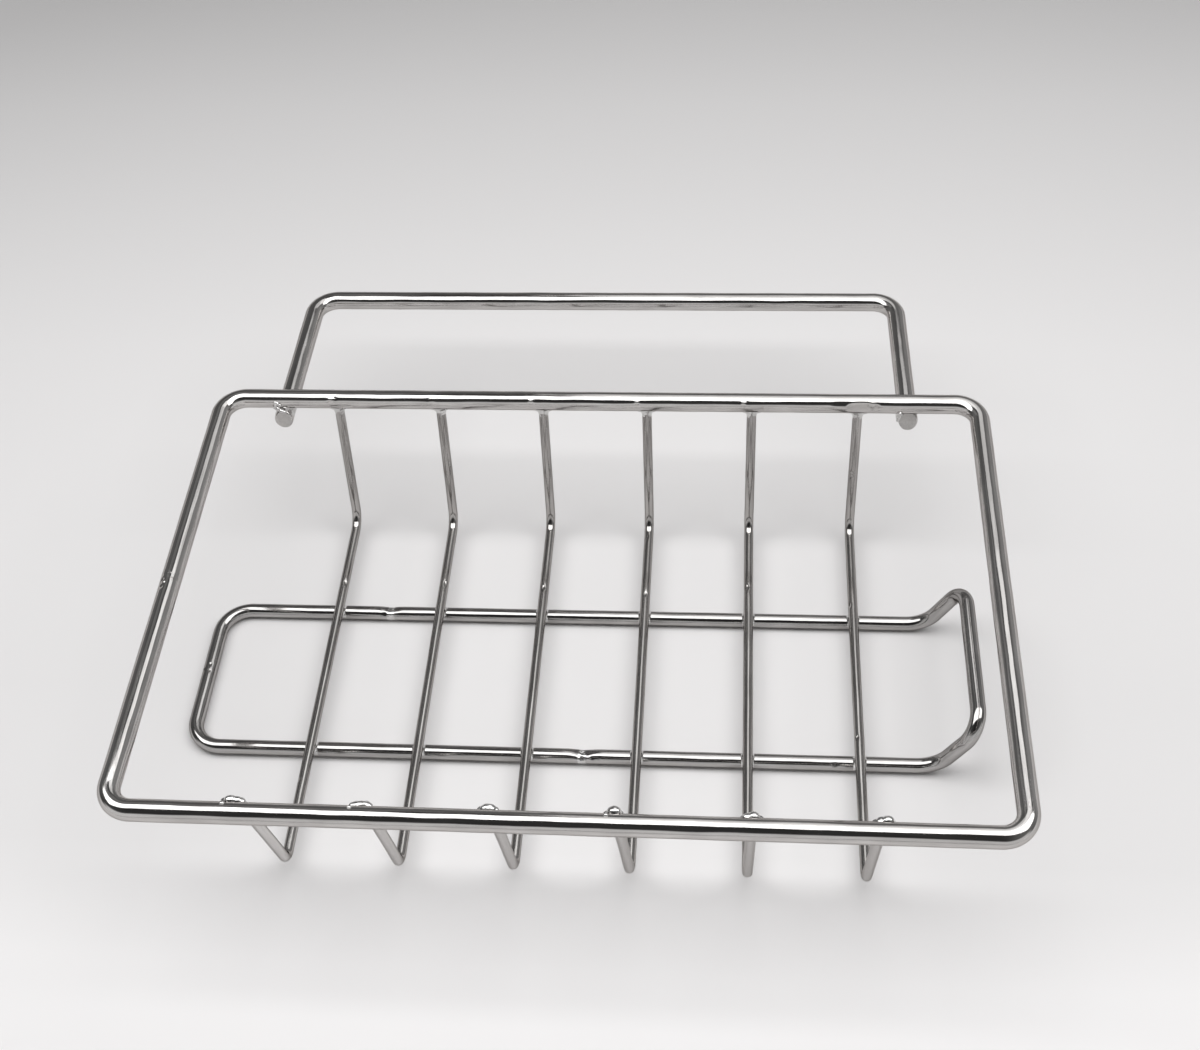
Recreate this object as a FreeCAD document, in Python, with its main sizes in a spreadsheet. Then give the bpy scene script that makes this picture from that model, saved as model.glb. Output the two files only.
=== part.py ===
"""Wire sponge holder: a welded basket of round wire that stands on a loop and has a rear hanger.

Frame: +X to the right along the long side, +Y to the rear, +Z up, millimetres.
The base loop rests on Z = 0, and the basket is centred on X = 0, Y = 0.
"""
import FreeCAD, Part
import math
import os
import Sketcher

# Driving sizes: each is set here once and kept in the sheet under the same name
SIZES = {
    # the top rim, measured between the centre lines of its wire
    "rim_width": 156.0,
    "rim_depth": 97.6,
    "rim_wire": 4.0,
    "rim_bend": 4.8,
    # the cradle: thin wires bent to a flat-bottomed U, hung in the rim
    "cradle_wire": 2.0,
    "cradle_inset": 24.0,
    "cradle_drop": 31.2,
    "rear_lean": 7.1,
    "front_lean": 7.6,
    "rear_bend": 4.4,
    "front_bend": 2.2,
    "front_end_rise": 1.0,
    # the hanger: a U of rim wire under the rear of the rim
    "hanger_inset": 13.2,
    "hanger_shift": 1.0,
    "hanger_reach": 36.3,
    "hanger_end": 3.2,
    "hanger_bend": 5.0,
    "hanger_end_round": 0.4,
    "hanger_tilt": 2.6,
    # the base loop: two half loops under the cradle, the right one with a raised end
    "base_wire": 3.0,
    "base_depth": 33.8,
    "base_shift": 1.1,
    "base_left": 79.2,
    "base_bend": 6.0,
    "stop_foot": 68.7,
    "stop_reach": 75.4,
    "stop_rise": 13.1,
    "stop_bend": 5.0,
    "foot_bend": 6.5,
    # welds: how far the wires are pressed into each other, and what the heat left behind
    "set_down": 0.25,
    "butt_gap": 1.4,
    "rim_upset": 0.25,
    "base_neck": 0.12,
    "cross_bead": 1.3,
    "rear_bead": 1.7,
    "hanger_bead": 2.3,
    "front_bead_shift": 0.9,
    "front_bead_width": 4.4,
    "front_bead_depth": 2.6,
    "front_bead_height": 2.2,
}
CRADLE_COUNT = 6


def number(item):
    return item.value if isinstance(item, Size) else item


def formula(item):
    return item.formula if isinstance(item, Size) else str(item)


class Size:
    """A length from the sheet, or one worked out from them: its number and its formula."""

    def __init__(self, value, text):
        self.value = value
        self.formula = text

    def __add__(self, other):
        return Size(self.value + number(other), f"({self.formula} + {formula(other)})")

    def __sub__(self, other):
        return Size(self.value - number(other), f"({self.formula} - {formula(other)})")

    def __mul__(self, other):
        return Size(self.value * number(other), f"({self.formula} * {formula(other)})")

    def __truediv__(self, other):
        return Size(self.value / number(other), f"({self.formula} / {formula(other)})")

    def __neg__(self):
        return Size(-self.value, f"(-1 * {self.formula})")


doc = FreeCAD.newDocument("sponge_holder")
sheet = doc.addObject("Spreadsheet::Sheet", "sizes")
for row, (name, value) in enumerate(SIZES.items(), start=1):
    sheet.set(f"A{row}", name)
    sheet.set(f"B{row}", str(value))
    sheet.setAlias(f"B{row}", name)
doc.recompute()
size = {name: Size(float(getattr(sheet, name)), f"sizes.{name}") for name in SIZES}

# Heights and places that several pieces share
floor_z = size["base_wire"] + size["cradle_wire"] / 2 - size["set_down"]
rim_z = floor_z + size["cradle_drop"]
rim_rear = size["rim_depth"] / 2
rim_front = -rim_rear
rail_z = size["base_wire"] / 2
rail_rear = size["base_shift"] + size["base_depth"] / 2
rail_front = size["base_shift"] - size["base_depth"] / 2
half_gap = size["butt_gap"] / 2
rim_side = size["rim_width"] / 2
hanger_side = rim_side - size["hanger_inset"]
hanger_legs = [-hanger_side - size["hanger_shift"], hanger_side - size["hanger_shift"]]
# the cradle wires share out the rim's width, the outer ones an inset away from its sides
cradle_pitch = (size["rim_width"] - size["cradle_inset"] * 2) / (CRADLE_COUNT - 1)
cradle_places = [cradle_pitch * (i - (CRADLE_COUNT - 1) / 2) for i in range(CRADLE_COUNT)]
# the base loop's halves meet between two wires: in the first bay at the rear, in the middle one in front
rear_butt_x = -(cradle_pitch * (CRADLE_COUNT // 2 - 1))
# where a front leg's centre line passes the rim: against its inner side, pressed in a little
front_top = rim_front + (size["rim_wire"] + size["cradle_wire"]) / 2 - size["set_down"]
front_foot = rim_front + size["front_lean"]


def drive(item, **formulas):
    """Bind properties of an object to sizes; a double underscore stands for a dot."""
    for name, value in formulas.items():
        item.setExpression(name.replace("__", "."), formula(value))


def put(item, x=None, y=None, z=None):
    """Bind the place of an object, axis by axis."""
    for axis, value in (("x", x), ("y", y), ("z", z)):
        if value is not None:
            item.setExpression(f"Placement.Base.{axis}", formula(value))


def origin_plane(body, role):
    return next(plane for plane in body.Origin.OriginFeatures if plane.Role == role)


def fix_point(sketch, geometry, vertex, place, label):
    """Dimension a sketch point from the sketch's origin, in both directions."""
    for kind, coordinate in zip(("DistanceX", "DistanceY"), place):
        ends = (-1, 1, geometry, vertex)
        if coordinate.value < 0:
            coordinate = -coordinate
            ends = (geometry, vertex, -1, 1)
        index = sketch.addConstraint(Sketcher.Constraint(kind, *ends, coordinate.value))
        name = f"{label}_{kind[-1].lower()}"
        sketch.renameConstraint(index, name)
        sketch.setExpression(f"Constraints.{name}", coordinate.formula)


def corner_arc(before, corner, after, radius):
    """The bend at a corner of a route: where it starts, its middle and where it ends."""
    back = (before - corner).normalize()
    ahead = (after - corner).normalize()
    half_angle = back.getAngle(ahead) / 2
    leg = radius / math.tan(half_angle)
    inward = (back + ahead).normalize()
    middle = corner + inward * (radius / math.sin(half_angle) - radius)
    return corner + back * leg, middle, corner + ahead * leg


def path_sketch(body, role, places, bends):
    """A dimensioned centre line: straight runs through the given places, with a bend at each corner."""
    sketch = body.newObject("Sketcher::SketchObject", f"{body.Name}_path")
    sketch.AttachmentSupport = [(origin_plane(body, role), "")]
    sketch.MapMode = "FlatFace"
    points = [FreeCAD.Vector(x.value, y.value, 0) for x, y in places]
    arcs = [corner_arc(*points[i:i + 3], bends[i].value) for i in range(len(bends))]
    starts = [points[0]] + [arc[2] for arc in arcs]
    ends = [arc[0] for arc in arcs] + [points[-1]]
    runs = [sketch.addGeometry(Part.LineSegment(start, end)) for start, end in zip(starts, ends)]
    for i, arc in enumerate(arcs):
        bend = sketch.addGeometry(Part.Arc(*arc))
        # an arc in a sketch always runs anticlockwise, so its first end may lie on either run
        near, far = sorted((1, 2), key=lambda vertex: sketch.getPoint(bend, vertex).distanceToPoint(arc[0]))
        sketch.addConstraint(Sketcher.Constraint("Tangent", runs[i], 2, bend, near))
        sketch.addConstraint(Sketcher.Constraint("Tangent", runs[i + 1], 1, bend, far))
        index = sketch.addConstraint(Sketcher.Constraint("Radius", bend, bends[i].value))
        sketch.renameConstraint(index, f"bend_{i}")
        sketch.setExpression(f"Constraints.bend_{i}", bends[i].formula)
        corner = sketch.addGeometry(Part.Point(points[i + 1]), True)
        sketch.addConstraint(Sketcher.Constraint("PointOnObject", corner, 1, runs[i]))
        sketch.addConstraint(Sketcher.Constraint("PointOnObject", corner, 1, runs[i + 1]))
        fix_point(sketch, corner, 1, places[i + 1], f"corner_{i}")
    fix_point(sketch, runs[0], 1, places[0], "start")
    fix_point(sketch, runs[-1], 2, places[-1], "finish")
    return sketch


def bent_wire(name, role, places, bends, gauge):
    """A body of round wire swept along a flat bent path."""
    body = doc.addObject("PartDesign::Body", name)
    path = path_sketch(body, role, places, bends)
    doc.recompute()
    section = body.newObject("Sketcher::SketchObject", f"{name}_section")
    section.AttachmentSupport = [(path, "Edge1")]
    section.MapMode = "NormalToEdge"
    circle = section.addGeometry(Part.Circle(FreeCAD.Vector(), FreeCAD.Vector(0, 0, 1), gauge.value / 2))
    section.addConstraint(Sketcher.Constraint("Coincident", circle, 3, -1, 1))
    index = section.addConstraint(Sketcher.Constraint("Diameter", circle, gauge.value))
    section.renameConstraint(index, "gauge")
    section.setExpression("Constraints.gauge", gauge.formula)
    pipe = body.newObject("PartDesign::AdditivePipe", f"{name}_sweep")
    pipe.Profile = section
    pipe.Spine = (path, [])
    body.Tip = pipe
    return body


def round_ends(body, radius):
    """Take the burr off the two cut ends of a wire."""
    sweep = body.Tip
    doc.recompute()
    flat_ends = [face for face in sweep.Shape.Faces if isinstance(face.Surface, Part.Plane)]
    rims = [edge for face in flat_ends for edge in face.Edges]
    names = [f"Edge{i}" for i, edge in enumerate(sweep.Shape.Edges, start=1)
             if any(edge.isSame(rim) for rim in rims)]
    rounding = body.newObject("PartDesign::Fillet", f"{body.Name}_ends")
    rounding.Base = (sweep, names)
    drive(rounding, Radius=radius)
    body.Tip = rounding


def cut(name, base, tool):
    item = doc.addObject("Part::Cut", name)
    item.Base = base
    item.Tool = tool
    return item


def group(name, items):
    item = doc.addObject("Part::Compound", name)
    item.Links = items
    return item


# The top rim: one wire bent to a rounded rectangle, its ends facing each other half-way along the left side
def make_rim():
    route = [(-rim_side, half_gap), (-rim_side, rim_rear), (rim_side, rim_rear), (rim_side, rim_front),
             (-rim_side, rim_front), (-rim_side, -half_gap)]
    rim = bent_wire("top_rim", "XY_Plane", route, [size["rim_bend"]] * 4, size["rim_wire"])
    put(rim, z=rim_z)
    return rim


# The left half of the base loop lies flat
def make_base_left():
    end = -size["base_left"]
    start = rear_butt_x - half_gap
    route = [(start, rail_rear), (end, rail_rear), (end, rail_front), (-half_gap, rail_front)]
    half = bent_wire("base_loop_left", "XY_Plane", route, [size["base_bend"]] * 2, size["base_wire"])
    put(half, z=rail_z)
    return half


# The right half turns up at its end, so its bends lie in three planes
def make_base_right():
    top_z = rail_z + size["stop_rise"]
    route = [(rear_butt_x + half_gap, rail_rear, rail_z), (size["stop_foot"], rail_rear, rail_z),
             (size["stop_reach"], rail_rear, top_z), (size["stop_reach"], rail_front, top_z),
             (size["stop_foot"], rail_front, rail_z), (half_gap, rail_front, rail_z)]
    bends = [size["foot_bend"], size["stop_bend"], size["stop_bend"], size["foot_bend"]]
    points = [FreeCAD.Vector(*(coordinate.value for coordinate in place)) for place in route]
    edges = []
    start = points[0]
    for i, bend in enumerate(bends):
        arc = corner_arc(*points[i:i + 3], bend.value)
        edges.append(Part.makeLine(start, arc[0]))
        edges.append(Part.Arc(*arc).toShape())
        start = arc[2]
    edges.append(Part.makeLine(start, points[-1]))
    gauge = size["base_wire"].value
    section = Part.Wire(Part.makeCircle(gauge / 2, points[0], points[1] - points[0]))
    half = doc.addObject("Part::Feature", "base_loop_right")
    half.Shape = Part.Wire(edges).makePipeShell([section], True, False)
    return half


# The hanger: two legs under the rear of the rim, joined behind it by a bar
def make_hanger(rim):
    end = -size["hanger_end"]
    reach = size["hanger_reach"]
    left, right = hanger_legs
    route = [(left, end), (left, reach), (right, reach), (right, end)]
    bar = bent_wire("hanger_bar", "XY_Plane", route, [size["hanger_bend"]] * 2, size["rim_wire"])
    round_ends(bar, size["hanger_end_round"])
    bar.Placement.Rotation = FreeCAD.Rotation(FreeCAD.Vector(-1, 0, 0), size["hanger_tilt"].value)
    put(bar, y=rim_rear, z=rim_z - size["rim_wire"] + size["set_down"])
    return cut("rear_hanger", bar, rim)


# One cradle wire: butted up under the rear of the rim, bent to a floor, and up inside its front
def make_cradle_wire(i, seats):
    over = size["front_end_rise"] / size["cradle_drop"]
    front_end = front_top + (front_top - front_foot) * over
    route = [(rim_rear, rim_z), (rim_rear - size["rear_lean"], floor_z), (front_foot, floor_z),
             (front_end, rim_z + size["front_end_rise"])]
    wire = bent_wire(f"cradle_bar_{i + 1}", "YZ_Plane", route, [size["rear_bend"], size["front_bend"]],
                     size["cradle_wire"])
    put(wire, x=cradle_places[i])
    return cut(f"cradle_wire_{i + 1}", wire, seats)


def bead(name, radius, x, y, z):
    ball = doc.addObject("Part::Sphere", name)
    drive(ball, Radius=radius)
    put(ball, x, y, z)
    return ball


def seated(name, beads, wires):
    """Beads of weld metal, each cut to the wires that it lies between."""
    return cut(name, group(f"{name}_beads", beads), wires)


doc.recompute()
rim = make_rim()
base_left = make_base_left()
base_right = make_base_right()
hanger = make_hanger(rim)
seats = group("cradle_seats", [rim, base_left, base_right])
cradle = [make_cradle_wire(i, seats) for i in range(CRADLE_COUNT)]
doc.recompute()

# Welds
rails = (rail_rear, rail_front)
cross_z = size["base_wire"] - size["set_down"] / 2
cradle_and_base = group("cradle_and_base", cradle + [base_left, base_right])
cradle_and_rim = group("cradle_and_rim", cradle + [rim])
hanger_and_rim = group("hanger_and_rim", [hanger, rim])
cross_welds = seated("base_cross_welds", [
    bead(f"cross_{i}_{k}", size["cross_bead"], x, y, cross_z)
    for i, x in enumerate(cradle_places) for k, y in enumerate(rails)], cradle_and_base)
rear_welds = seated("rear_wall_welds", [
    bead(f"rear_{i}", size["rear_bead"], x, rim_rear - size["rear_lean"] * (size["rim_wire"] / 2)
         / size["cradle_drop"], rim_z - size["rim_wire"] / 2)
    for i, x in enumerate(cradle_places)], cradle_and_rim)
hanger_welds = seated("hanger_welds", [
    bead(f"hanger_weld_{k}", size["hanger_bead"], x, rim_rear, rim_z - size["rim_wire"] / 2)
    for k, x in enumerate(hanger_legs)], hanger_and_rim)


def front_lump(i, x):
    """The wire's end, spread sideways on the rim by the weld."""
    lump = doc.addObject("Part::Ellipsoid", f"front_{i}")
    drive(lump, Radius1=size["front_bead_height"] / 2, Radius2=size["front_bead_width"] / 2,
          Radius3=size["front_bead_depth"] / 2)
    put(lump, x, front_top - size["front_bead_shift"], rim_z + size["front_end_rise"])
    return lump


front_lumps = [front_lump(i, x) for i, x in enumerate(cradle_places)]
front_welds = seated("front_wall_welds", front_lumps, cradle_and_rim)

# Butt welds: the rim's is upset to a low barrel, the base loop's are drawn thin
rim_butt = doc.addObject("Part::Sphere", "rim_butt_weld")
upset = size["rim_wire"] / 2 + size["rim_upset"]
drive(rim_butt, Radius=upset)
for name, end in (("Angle1", -half_gap), ("Angle2", half_gap)):
    rim_butt.setExpression(name, f"asin({(end / upset).formula})")
rim_butt.Placement.Rotation = FreeCAD.Rotation(FreeCAD.Vector(0, 0, 1), FreeCAD.Vector(0, 1, 0))
put(rim_butt, -rim_side, z=rim_z)
necks = []
for name, x, y in (("rear", rear_butt_x, rail_rear), ("front", Size(0, "0"), rail_front)):
    neck = doc.addObject("Part::Cylinder", f"base_butt_{name}")
    drive(neck, Radius=size["base_wire"] / 2 - size["base_neck"], Height=size["butt_gap"])
    neck.Placement.Rotation = FreeCAD.Rotation(FreeCAD.Vector(0, 0, 1), FreeCAD.Vector(1, 0, 0))
    put(neck, x - half_gap, y, rail_z)
    necks.append(neck)
base_butts = group("base_loop_butt_welds", necks)
doc.recompute()

wires = [rim, base_left, base_right, hanger, *cradle]
welds = [rim_butt, base_butts, cross_welds, rear_welds, hanger_welds, front_welds]
for item in doc.Objects:
    if {"Invalid", "Error"} & set(item.State):
        raise RuntimeError(f"{item.Label}: {item.State}")
os.makedirs("parts", exist_ok=True)
for piece in wires + welds:
    shape = piece.Shape
    if shape.isNull() or not shape.isValid() or not shape.Solids:
        raise RuntimeError(f"{piece.Label}: no sound solid")
    shape.exportStep(f"parts/{piece.Label}.step")
    print(f"{piece.Label}: {len(shape.Solids)} solid(s), {shape.Volume:.2f} mm3")
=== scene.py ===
# %% [markdown]
# # A wire sponge holder, dressed for its portrait
# The holder is a basket of bright round wire. A thick wire makes the top rim and the hanger behind it,
# a middle one makes the loop that it stands on, and six thin ones make the cradle for the sponge.
# Everything is welded, so nothing moves. The solids were built elsewhere and are loaded here as a
# fixed frame. This lesson puts a truer skin over them: wire with bends, weld marks and cut ends.

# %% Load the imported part
import math

import bmesh
import bpy
import numpy as np
from mathutils import Matrix, Vector, noise


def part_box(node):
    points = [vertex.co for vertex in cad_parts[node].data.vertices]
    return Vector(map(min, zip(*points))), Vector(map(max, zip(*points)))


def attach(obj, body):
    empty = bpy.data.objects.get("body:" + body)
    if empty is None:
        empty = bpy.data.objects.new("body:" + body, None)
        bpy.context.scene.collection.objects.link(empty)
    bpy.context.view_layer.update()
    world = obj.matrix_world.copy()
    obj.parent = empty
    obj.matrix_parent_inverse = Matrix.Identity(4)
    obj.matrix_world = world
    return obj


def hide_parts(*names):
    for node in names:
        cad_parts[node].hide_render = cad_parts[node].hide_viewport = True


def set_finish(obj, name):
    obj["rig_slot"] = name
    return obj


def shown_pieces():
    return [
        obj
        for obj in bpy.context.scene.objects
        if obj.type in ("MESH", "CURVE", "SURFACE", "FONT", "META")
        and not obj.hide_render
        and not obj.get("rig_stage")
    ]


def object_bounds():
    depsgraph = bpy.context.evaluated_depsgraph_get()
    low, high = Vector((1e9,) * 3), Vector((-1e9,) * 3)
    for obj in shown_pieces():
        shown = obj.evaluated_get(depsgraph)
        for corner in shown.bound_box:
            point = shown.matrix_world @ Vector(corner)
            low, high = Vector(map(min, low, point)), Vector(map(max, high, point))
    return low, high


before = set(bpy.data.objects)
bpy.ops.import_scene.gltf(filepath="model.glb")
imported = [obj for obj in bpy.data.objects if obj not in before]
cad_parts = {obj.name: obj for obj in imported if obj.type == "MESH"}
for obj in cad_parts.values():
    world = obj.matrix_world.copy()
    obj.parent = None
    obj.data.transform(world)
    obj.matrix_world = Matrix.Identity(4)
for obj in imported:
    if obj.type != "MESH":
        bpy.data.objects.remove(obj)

cad_box = [list(corner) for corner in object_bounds()]
print("packed nodes:", ", ".join(sorted(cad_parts)))

# %% [markdown]
# ## Where the wires lie
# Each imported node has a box, and half a wire's thickness inside that box runs the wire's middle.
# Measuring the boxes, and not writing the places down again, keeps the skin's main lines on the solids
# when these are packed at another size. The lesson thinks in millimetres, and meshes are in metres.

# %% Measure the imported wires
MM = 0.001


def span(node):
    """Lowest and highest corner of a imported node, in millimetres."""
    low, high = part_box(node)
    return np.array(low) / MM, np.array(high) / MM


rim_low, rim_high = span("top_rim")
rim_radius = (rim_high[2] - rim_low[2]) / 2
rim_z = rim_low[2] + rim_radius
rim_left, rim_front = rim_low[:2] + rim_radius
rim_right, rim_rear = rim_high[:2] - rim_radius
cradle_boxes = [span(f"cradle_wire_{i}") for i in range(1, 7)]
cradle_radius = (cradle_boxes[0][1][0] - cradle_boxes[0][0][0]) / 2
cradle_x = [(low[0] + high[0]) / 2 for low, high in cradle_boxes]
cradle_floor = cradle_boxes[0][0][2] + cradle_radius
print("rim middle height", round(rim_z, 2), "cradle wires at", np.round(cradle_x, 2))

# %% Measure the base loop and the hanger
left_low, left_high = span("base_loop_left")
right_low, right_high = span("base_loop_right")
base_radius = (left_high[2] - left_low[2]) / 2
rail_z = left_low[2] + base_radius
rail_front, rail_rear = left_low[1] + base_radius, left_high[1] - base_radius
loop_left = left_low[0] + base_radius
stop_reach = right_high[0] - base_radius
stop_top = right_high[2] - base_radius
hanger_low, hanger_high = span("rear_hanger")
hanger_left, hanger_right = hanger_low[0] + rim_radius, hanger_high[0] - rim_radius
bar_y, bar_z = hanger_high[1] - rim_radius, hanger_low[2] + rim_radius
print("rails at", np.round((rail_front, rail_rear), 2), "hanger bar at", np.round((bar_y, bar_z), 2))

# %% [markdown]
# ## The middle of a bent wire
# Wire is bent round a pin, so its middle is straight runs with a round arc at each corner. A curve
# object could draw that, but then no single spot on the wire could be dented or pressed flat.
# So the middle is worked out here as points with their headings, and a skin is laid round it later.

# %% Bend a wire's middle round its corners
BEND_STEP = math.radians(4)


def unit(vector):
    """The same way with a length of one."""
    return np.asarray(vector, float) / np.linalg.norm(vector)


def bent_middle(corners, bends):
    """Points, headings and running lengths along a wire that is bent at its inner corners."""
    places = [np.array(corner, float) for corner in corners]
    points, headings = [places[0]], [unit(places[1] - places[0])]
    for before, corner, after, radius in zip(places, places[1:], places[2:], bends):
        back, ahead = unit(before - corner), unit(after - corner)
        half = math.acos(np.clip(back @ ahead, -1, 1)) / 2
        pin = corner + unit(back + ahead) * radius / math.sin(half)
        out = unit(corner + back * radius / math.tan(half) - pin)
        turn = math.pi - 2 * half
        steps = math.ceil(turn / BEND_STEP)
        for k in range(steps + 1):
            angle = turn * k / steps
            points.append(pin + radius * (out * math.cos(angle) - back * math.sin(angle)))
            headings.append(-back * math.cos(angle) - out * math.sin(angle))
    points.append(places[-1])
    headings.append(unit(places[-1] - places[-2]))
    gaps = np.linalg.norm(np.diff(points, axis=0), axis=1)
    return np.array(points), np.array(headings), np.concatenate([[0], np.cumsum(gaps)])


print("bends are drawn in steps of", round(math.degrees(BEND_STEP)), "degrees")

# %% [markdown]
# ## What the bench left on the wire
# A welding tip presses a flat on the far side of each joint, sparks leave pits, and handling leaves
# nicks. Each of these is written as one mark with its place, the way it faces, its length and its
# depth. A mark moves real points of the skin, so it also shows in the bare mesh.

# %% Marks that press into a wire
MARK_REACH = 3


def flat(at, facing, long, deep):
    """A pressed flat: the wire is cut by a plane that faces one way, fading out along the wire."""
    return {"kind": "flat", "at": np.array(at, float), "facing": unit(facing), "long": long, "deep": deep}


def dent(at, facing, long, wide, deep):
    """A round dent, or with a negative depth a blister, on the side of the wire that faces one way."""
    return {"kind": "dent", "at": np.array(at, float), "facing": unit(facing), "long": long,
            "wide": wide, "deep": deep}


def press(marks, skin, middles, headings, radius):
    """Move the skin's points where the marks lie."""
    for mark in marks:
        away = np.linalg.norm(middles - mark["at"], axis=1)
        near = np.flatnonzero(away < MARK_REACH * mark["long"] + radius)
        for k in near:
            along = (middles[k] - mark["at"]) @ headings[k]
            spokes = skin[k] - middles[k]
            if mark["kind"] == "flat":
                fade = max(0.0, 1 - (along / mark["long"]) ** 2)
                over = spokes @ mark["facing"] - (radius - mark["deep"] * math.sqrt(fade))
                skin[k] -= np.outer(np.clip(over, 0, None), mark["facing"])
            else:
                spot = mark["at"] + mark["facing"] * radius
                offset = skin[k] - spot
                run = offset @ headings[k]
                side = np.linalg.norm(offset - np.outer(run, headings[k]), axis=1)
                push = mark["deep"] * np.exp(-(run / mark["long"]) ** 2 - (side / mark["wide"]) ** 2)
                skin[k] -= spokes / np.linalg.norm(spokes, axis=1)[:, None] * push[:, None]


print("two kinds of mark: flats and dents")

# %% [markdown]
# ## A skin round the middle
# Rings of points are laid round the middle and joined by four-sided faces. Rings stand close together
# at the marks and further apart between them. Drawn wire is never quite round, so the skin sinks in
# by hundredths of a millimetre here and there, which makes the bright bands waver as they do on the
# real one. Each point also keeps its place along and round the wire, for the finish to use.

# %% Where the rings go
RING_GAP = 1.3
FINE_GAP = 0.16
MARK_ROWS = 24
ROWS_PAST = {"flat": 1.25, "dent": 2.2}
MARK_STRAY = 3.0


def length_near(lengths, points, at):
    """The running length at which the wire passes a place, or None if it stays away from it."""
    best, found = MARK_STRAY, None
    for start, end, begin in zip(points, points[1:], lengths):
        run = end - start
        share = np.clip((at - start) @ run / max(run @ run, 1e-12), 0, 1)
        away = np.linalg.norm(at - start - run * share)
        if away < best:
            best, found = away, begin + share * np.linalg.norm(run)
    return found


def ring_places(lengths, points, marks):
    """Running lengths at which a ring is laid: even ones, each bend, and a close row at each mark."""
    total = lengths[-1]
    rows = set(np.round(np.linspace(0, total, max(2, int(total / RING_GAP))), 4))
    rows |= set(np.round(lengths, 4))
    for mark in marks:
        reach = mark["long"] * ROWS_PAST[mark["kind"]]
        here = length_near(lengths, points, mark["at"])
        if here is not None:
            low, high = max(0, here - reach), min(total, here + reach)
            gap = max(FINE_GAP, reach / MARK_ROWS)
            rows |= set(np.round(np.arange(low, high, gap), 4))
    rows = sorted(rows)
    kept = [rows[0]]
    for row in rows[1:]:
        if row - kept[-1] > FINE_GAP / 2:
            kept.append(row)
    kept[-1] = rows[-1]
    return np.array(kept)


print("rings", RING_GAP, "mm apart, and", FINE_GAP, "mm at small marks")

# %% Lay the skin
ROUNDNESS_LOSS = 0.08
WAVER_ROUND = 1.1
WAVER_ALONG = 0.19
WAVER_SHIFT = 17.3
PLACE_SHIFT = 61.0


def wire_skin(corners, bends, radius, upright, sides, marks, seed):
    """Rings of a bent wire: skin points, their places on the wire, middles and headings."""
    points, headings, lengths = bent_middle(corners, bends)
    rows = ring_places(lengths, points, marks)
    middles = np.column_stack([np.interp(rows, lengths, points[:, k]) for k in range(3)])
    ways = np.column_stack([np.interp(rows, lengths, headings[:, k]) for k in range(3)])
    ways /= np.linalg.norm(ways, axis=1)[:, None]
    skin = np.zeros((len(rows), sides, 3))
    place = np.zeros((len(rows), sides, 3))
    turns = np.arange(sides) * 2 * math.pi / sides
    spoke = np.array(upright, float)
    for k, (middle, way) in enumerate(zip(middles, ways)):
        spoke = unit(spoke - way * (spoke @ way))
        across = np.cross(way, spoke)
        for j, turn in enumerate(turns):
            right, up = math.cos(turn), math.sin(turn)
            out = spoke * right + across * up
            spot = (right * WAVER_ROUND, up * WAVER_ROUND, rows[k] * WAVER_ALONG + seed * WAVER_SHIFT)
            sink = ROUNDNESS_LOSS * (0.5 + 0.5 * noise.noise(Vector(spot)))
            skin[k, j] = middle + out * (radius - sink * radius / 2)
            place[k, j] = (right * radius, up * radius, rows[k] + seed * PLACE_SHIFT)
    press(marks, skin, middles, ways, radius)
    return skin, place, middles, ways


print("the skin sinks in by up to", ROUNDNESS_LOSS / 2, "of a wire's radius")

# %% [markdown]
# ## Cut ends
# A wire's end is a cut face with a worn edge. A bevel could round that edge, but here it is laid in
# three more rings, and the face in rings that shrink to a middle point. So each ring can tell the finish
# whether it is cut metal, and a shear's slant can be given to an end by sliding its last rings along.

# %% Close the cut ends
EDGE_TURNS = np.radians((30, 60, 90))
CAP_SHARES = (0.94, 0.8, 0.6, 0.4, 0.2)
CAP_WAVE = 0.05
CAP_GRAIN = 1.1
SHEARED = 3.0


def lean_end(skin, middles, middle, way, slant):
    """Shear the rings near an end lengthwise, so that a slanted cut face looks up."""
    away = np.linalg.norm(middles - middle, axis=1)
    for k in np.flatnonzero(away < SHEARED):
        rise = skin[k][:, 2] - middles[k][2]
        skin[k] -= np.outer(rise, way) * math.tan(math.radians(slant)) * (1 - away[k] / SHEARED)


def close_ends(skin, place, middles, ways, end_round, slants):
    """Round the two ends over, lay the rings of each cut face, and tell which rings are cut metal."""
    cut = np.zeros(len(skin))
    for end, side, slant in ((0, -1, slants[0]), (-1, 1, slants[1])):
        middle, way = middles[end], ways[end] * side
        lean_end(skin[-len(middles):], middles, middle, way, slant)
        spokes = skin[end] - middle
        reach = np.linalg.norm(spokes, axis=1)[:, None]
        rows, spots = [], []
        for angle in EDGE_TURNS:
            inner = reach - end_round * (1 - math.cos(angle))
            rows.append(middle + spokes * inner / reach + way * end_round * math.sin(angle))
            spots.append(place[end])
        for share in CAP_SHARES:
            face = middle + spokes * (1 - end_round / reach) * share + way * end_round
            wave = [noise.noise(Vector(spot) * CAP_GRAIN) for spot in face]
            rows.append(face + np.outer(wave, way) * CAP_WAVE)
            spots.append(place[end] * (share, share, 1))
        marked = [0] * (len(EDGE_TURNS) - 1) + [1] * (len(CAP_SHARES) + 1)
        if side > 0:
            skin, place = np.concatenate([skin, rows]), np.concatenate([place, spots])
            cut = np.concatenate([cut, marked])
        else:
            skin, place = np.concatenate([rows[::-1], skin]), np.concatenate([spots[::-1], place])
            cut = np.concatenate([marked[::-1], cut])
    return skin, place, cut


print("each cut face has", len(CAP_SHARES), "rings and a middle point")

# %% Turn rings into a mesh object
SHARP_TURN = math.radians(50)


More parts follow.
